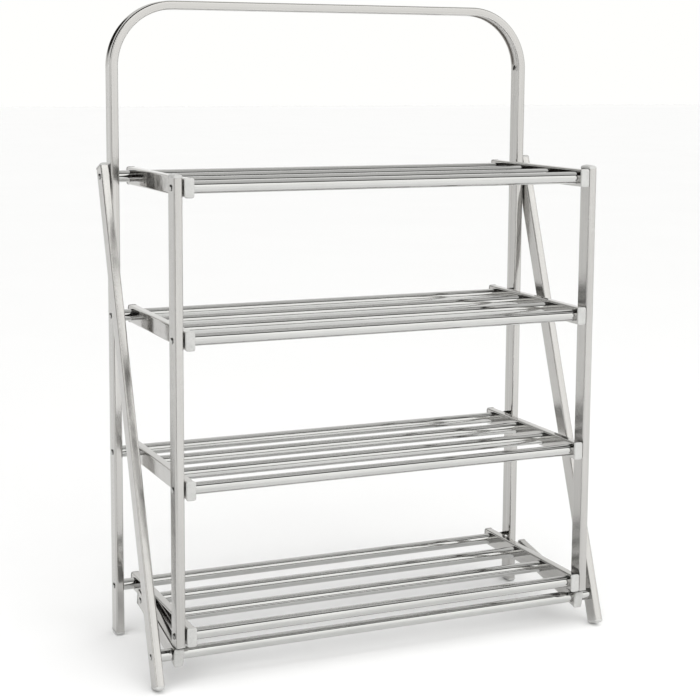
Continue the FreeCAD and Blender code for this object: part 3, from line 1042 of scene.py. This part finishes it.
class OBJECT_OT_rack_rivets(bpy.types.Operator):
    """Turn one domed rivet and set copies of it in every pivot"""

    bl_idname = "object.rack_rivets"
    bl_label = "Rivets"

    def execute(self, context):
        sizes = context.scene.rack_sizes
        self.pattern = self.turned(sizes)
        frame_face = outer_x("hoop_frame")
        leg_face = outer_x("front_leg_right")
        post_face = outer_x("post_right")
        grip = sizes.plug_length
        for tier in TIERS:
            rear = middle(f"tier_{tier}_axle_tube")
            front = middle(f"tier_{tier}_shelf_tube_3")
            face = leg_face if tier == 1 else frame_face
            rivets = []
            for side in SIDES.values():
                rivets.append(self.set_rivet(side, outer_x(f"tier_{tier}_axle_tube") - grip,
                                             face + sizes.rivet_gap, rear))
                rivets.append(self.set_rivet(side, outer_x(f"tier_{tier}_shelf_tube_3") - grip,
                                             post_face + sizes.rivet_gap, front))
            rivets = joined(f"tier_{tier}_rivets", rivets)
            self.fit_rivets(rivets, f"tier_{tier}", f"tier_{tier}_pivot_rivets")
        cross = [self.set_rivet(side, outer_x("front_cross_tube") - grip, leg_face, CROSS_AXLE)
                 for side in SIDES.values()]
        self.fit_rivets(joined("front_leg_rivets", cross), "front_legs", "cross_tube_rivets")
        for name, side in SIDES.items():
            pin = self.set_rivet(side, post_face - FLAT_THIN, post_face, LINK_AXLE)
            pin.name = pin.data.name = f"{name}_link_pin"
            self.fit_rivets(pin, f"link_{name}", f"link_{name}_rivet")
        discard(self.pattern)
        return {"FINISHED"}

    @staticmethod
    def fit_rivets(rivets, body, node):
        fit_out(rivets, body, "tumbled_rivet_steel", node)

    @staticmethod
    def turned(sizes):
        """One rivet along +X: a stub of shank up to 0, and a flanged dome beyond."""
        clear_selection()
        bpy.ops.mesh.primitive_cylinder_add(vertices=32, radius=sizes.shank_radius, depth=SHANK_STUB,
                                            location=(-SHANK_STUB / 2, 0, 0), rotation=(0, QUARTER, 0))
        piece = settle(bpy.context.object)
        height = sizes.rivet_height
        rim = height * 0.22
        dome_radius = HEAD_RADIUS * 0.985
        steps = 9
        rings = [(0.0, HEAD_RADIUS * 0.94), (rim * 0.5, HEAD_RADIUS), (rim, dome_radius)]
        for step in range(1, steps):
            turn = QUARTER * step / steps
            rings.append((rim + (height - rim) * math.sin(turn), dome_radius * math.cos(turn)))
        rings.append((height, HEAD_RADIUS * 0.05))
        with editing(piece):
            pick(piece, "FACE", lambda face: face.normal.x > 0.9)
            was_x, was_radius = 0.0, sizes.shank_radius
            for x, radius in rings:
                bpy.ops.mesh.extrude_region_move(TRANSFORM_OT_translate={"value": (x - was_x, 0, 0)})
                scale = radius / was_radius
                bpy.ops.transform.resize(value=(1, scale, scale), center_override=(x, 0, 0))
                was_x, was_radius = x, radius
            bpy.ops.mesh.select_all(action="SELECT")
            bpy.ops.mesh.normals_make_consistent(inside=False)
        smooth(piece, 50)
        return piece

    def set_rivet(self, side, inner, face, place):
        """A copy whose shank starts inside the tube and whose head stands off an outer face."""
        piece = copy_of(self.pattern, "rivet")
        with editing(piece):
            pick(piece, "VERT", lambda vertex: vertex.co.x < -SHANK_STUB * 0.9)
            bpy.ops.transform.translate(value=(inner - face + SHANK_STUB, 0, 0))
        piece.rotation_euler = (0, 0, 0 if side > 0 else math.pi)
        piece.location = (side * face, place.y, place.z)
        return settle(piece)


# ---------------------------------------------------------------- kept CAD pieces


class OBJECT_OT_rack_inner_fittings(bpy.types.Operator):
    """Give the tube plugs and washers of the frame their nylon finish"""

    bl_idname = "object.rack_inner_fittings"
    bl_label = "Plugs and washers"

    def execute(self, context):
        kept = [f"tier_{tier}_tube_plugs" for tier in TIERS] + ["cross_tube_plugs", "leg_washers"]
        for name in kept:
            coat(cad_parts[name], "natural_nylon")
        return {"FINISHED"}


# ---------------------------------------------------------------- studio

WORLD_STRENGTH = 2.0
# Radiance of the pale backdrop; the floor is lit to match it.
BACKDROP = 1.0
# Brightness round the rack from front to back: degrees up from straight in front, and level.
RING = ((-180, 0.50), (-4, 0.66), (3, 0.72), (34, 0.78), (38, 0.98), (44, 0.98), (47, 0.01),
        (60, 0.01), (64, 0.34), (110, 0.44), (165, 0.50), (180, 0.50))
# How far out to the sides the ring gives way to the backdrop.
SIDE_WALL = (0.7, 0.95)
# The dark panel overhead: its right edge, how far that edge drifts left towards the back, its
# lower edge, how far that edge hangs down on the far left, and its front edge.
PANEL_RIGHT = (0.06, 0.13)
PANEL_DRIFT = 0.42
PANEL_FOOT = (0.2, 0.3)
PANEL_DROP = 0.09
PANEL_FAR_LEFT = (-0.45, -0.7)
PANEL_FRONT = (math.radians(43), math.radians(49))
PANEL_BLACK = (0.01, 0.009, 0.008, 1)


def studio_world():
    """Soft surroundings: a strip light in front, a dim gap above it and a dark panel overhead left."""
    world = bpy.data.worlds.new("studio")
    bpy.context.scene.world = world
    world.use_nodes = True
    finish = Finish(world.node_tree)
    where = finish.node("ShaderNodeTexCoord", {}, {}, "Generated")
    x, y, z = (finish.node("ShaderNodeSeparateXYZ", {}, {"Vector": where}, axis) for axis in "XYZ")
    angle = finish.node("ShaderNodeMath", {"operation": "ARCTAN2"}, {0: z, 1: 0 - y})
    share = angle / (2 * math.pi) + 0.5
    stops = [(degrees / 360 + 0.5, (level, level, level * 0.985, 1)) for degrees, level in RING]
    ring = finish.node("ShaderNodeValToRGB", {"stops": stops}, {"Fac": share})
    sideways = finish.node("ShaderNodeMath", {"operation": "ABSOLUTE"}, {0: x})
    wall = BACKDROP / WORLD_STRENGTH
    light = finish.mix(finish.range(sideways, *SIDE_WALL), ring, (wall, wall, wall * 0.985, 1))
    behind = finish.node("ShaderNodeMath", {"operation": "MAXIMUM"}, {0: y, 1: 0.0})
    far_left = finish.range(x, *PANEL_FAR_LEFT)
    panel = finish.range(x + behind * PANEL_DRIFT, *PANEL_RIGHT, 1, 0)
    panel = panel * finish.range(z + far_left * PANEL_DROP, *PANEL_FOOT)
    panel = panel * finish.range(angle, *PANEL_FRONT)
    light = finish.mix(panel, light, PANEL_BLACK)
    shine = finish.node("ShaderNodeBackground", {}, {"Color": light, "Strength": WORLD_STRENGTH})
    finish.node("ShaderNodeOutputWorld", {}, {"Surface": shine})


def aimed(name, data, place, target):
    """A lamp or card at a place, facing a target."""
    holder = bpy.data.objects.new(name, data)
    bpy.context.scene.collection.objects.link(holder)
    holder.location = place
    holder.rotation_euler = (Vector(target) - Vector(place)).to_track_quat("-Z", "Y").to_euler()
    return holder


def soft_light(name, kind, place, target, size, power):
    """A soft light that isn't itself mirrored in the steel; its size is an angle for a sun."""
    lamp = bpy.data.lights.new(name, kind)
    lamp.energy = power
    if kind == "AREA":
        lamp.shape = "SQUARE"
        lamp.size = size
    else:
        lamp.angle = size
    aimed(name, lamp, place, target).visible_glossy = False


def reflected_card(name, centre, facing, width, height, finish):
    """An upright card that shows only in the steel's reflections."""
    clear_selection()
    bpy.ops.mesh.primitive_plane_add(size=1)
    card = bpy.context.object
    card.name = card.data.name = name
    card.scale = (width, height, 1)
    settle(card)
    card.rotation_euler = Vector(facing).to_track_quat("Z", "Y").to_euler()
    card.location = centre
    settle(card)
    card.visible_camera = False
    card.visible_diffuse = False
    card.visible_shadow = False
    coat(card, finish)


class SCENE_OT_rack_studio(bpy.types.Operator):
    """Set the floor, the soft lights and the camera"""

    bl_idname = "scene.rack_studio"
    bl_label = "Studio"

    def execute(self, context):
        clear_selection()
        bpy.ops.mesh.primitive_plane_add(size=60, location=(0, 0, 0))
        floor = bpy.context.object
        floor.name = floor.data.name = "studio_floor"
        coat(floor, "pale_floor")
        studio_world()
        soft_light("overhead_light", "SUN", place=(-1.0, -0.9, 3.0), target=(CAD_BOX[0] + CAD_BOX[1]) / 2,
                   size=math.radians(70), power=1.9)
        soft_light("front_floor_light", "AREA", place=(0.7, -2.3, 2.0), target=(0.7, -2.3, 0),
                   size=3.0, power=36)
        reflected_card("dark_card", centre=(-0.68, -0.97, 0.75), facing=(0.57, 0.82, 0),
                       width=0.28, height=1.5, finish="black_felt")
        # Painted light: a glowing card that shows only in the steel's reflections.
        reflected_card("bright_card", centre=(1.3, -3.6, 0.45), facing=(0, 1, 0),
                       width=5.2, height=0.9, finish="glowing_paper")
        context.scene.view_settings.view_transform = "Standard"
        self.camera(context)
        return {"FINISHED"}

    @staticmethod
    def camera(context):
        """The camera stands in front and to the left, a little under the height of the hoop."""
        place = Vector((-0.9076, -2.0192, 0.7916))
        yaw, pitch, roll = (math.radians(turn) for turn in (23.75, 7.33, 0.35))
        ahead = Vector((math.sin(yaw) * math.cos(pitch), math.cos(yaw) * math.cos(pitch),
                        -math.sin(pitch)))
        right = Vector((math.cos(yaw), -math.sin(yaw), 0))
        up = right.cross(ahead)
        across = right * math.cos(roll) + up * math.sin(roll)
        upward = up * math.cos(roll) - right * math.sin(roll)
        lens = bpy.data.cameras.new("camera")
        lens.sensor_width = 36
        lens.lens = 82.87
        lens.shift_x = 0.0082
        lens.shift_y = -0.1057
        camera = bpy.data.objects.new("camera", lens)
        context.scene.collection.objects.link(camera)
        turn = Matrix((across, upward, -ahead)).transposed()
        camera.matrix_world = Matrix.Translation(place) @ turn.to_4x4()
        context.scene.camera = camera


class VIEW3D_PT_shoe_rack(bpy.types.Panel):
    """The rack's sizes, colours and building steps"""

    bl_idname = "VIEW3D_PT_shoe_rack"
    bl_label = "Shoe Rack"
    bl_space_type = "VIEW_3D"
    bl_region_type = "UI"
    bl_category = "Shoe Rack"

    def draw(self, context):
        for group in (context.scene.rack_sizes, context.scene.rack_colours):
            for name in group.__annotations__:
                self.layout.prop(group, name)
        for step in STEPS:
            self.layout.operator(step.bl_idname)


STEPS = (
    OBJECT_OT_rack_hoop,
    OBJECT_OT_rack_posts,
    OBJECT_OT_rack_legs,
    OBJECT_OT_rack_links,
    OBJECT_OT_rack_rails,
    OBJECT_OT_rack_round_tubes,
    OBJECT_OT_rack_caps,
    OBJECT_OT_rack_rivets,
    OBJECT_OT_rack_inner_fittings,
    SCENE_OT_rack_studio,
)
CLASSES = (RackSizes, RackColours, *STEPS, VIEW3D_PT_shoe_rack)


def register():
    for cls in CLASSES:
        bpy.utils.register_class(cls)
    bpy.types.Scene.rack_sizes = bpy.props.PointerProperty(type=RackSizes)
    bpy.types.Scene.rack_colours = bpy.props.PointerProperty(type=RackColours)


def unregister():
    del bpy.types.Scene.rack_sizes
    del bpy.types.Scene.rack_colours
    for cls in reversed(CLASSES):
        bpy.utils.unregister_class(cls)


def main():
    register()
    make_finishes(bpy.context.scene.rack_colours)
    bpy.ops.object.rack_hoop()
    bpy.ops.object.rack_posts()
    bpy.ops.object.rack_legs()
    bpy.ops.object.rack_links()
    bpy.ops.object.rack_rails()
    bpy.ops.object.rack_round_tubes()
    bpy.ops.object.rack_caps()
    bpy.ops.object.rack_rivets()
    bpy.ops.object.rack_inner_fittings()
    bpy.ops.scene.rack_studio()
    clear_selection()


if __name__ == "__main__":
    main()
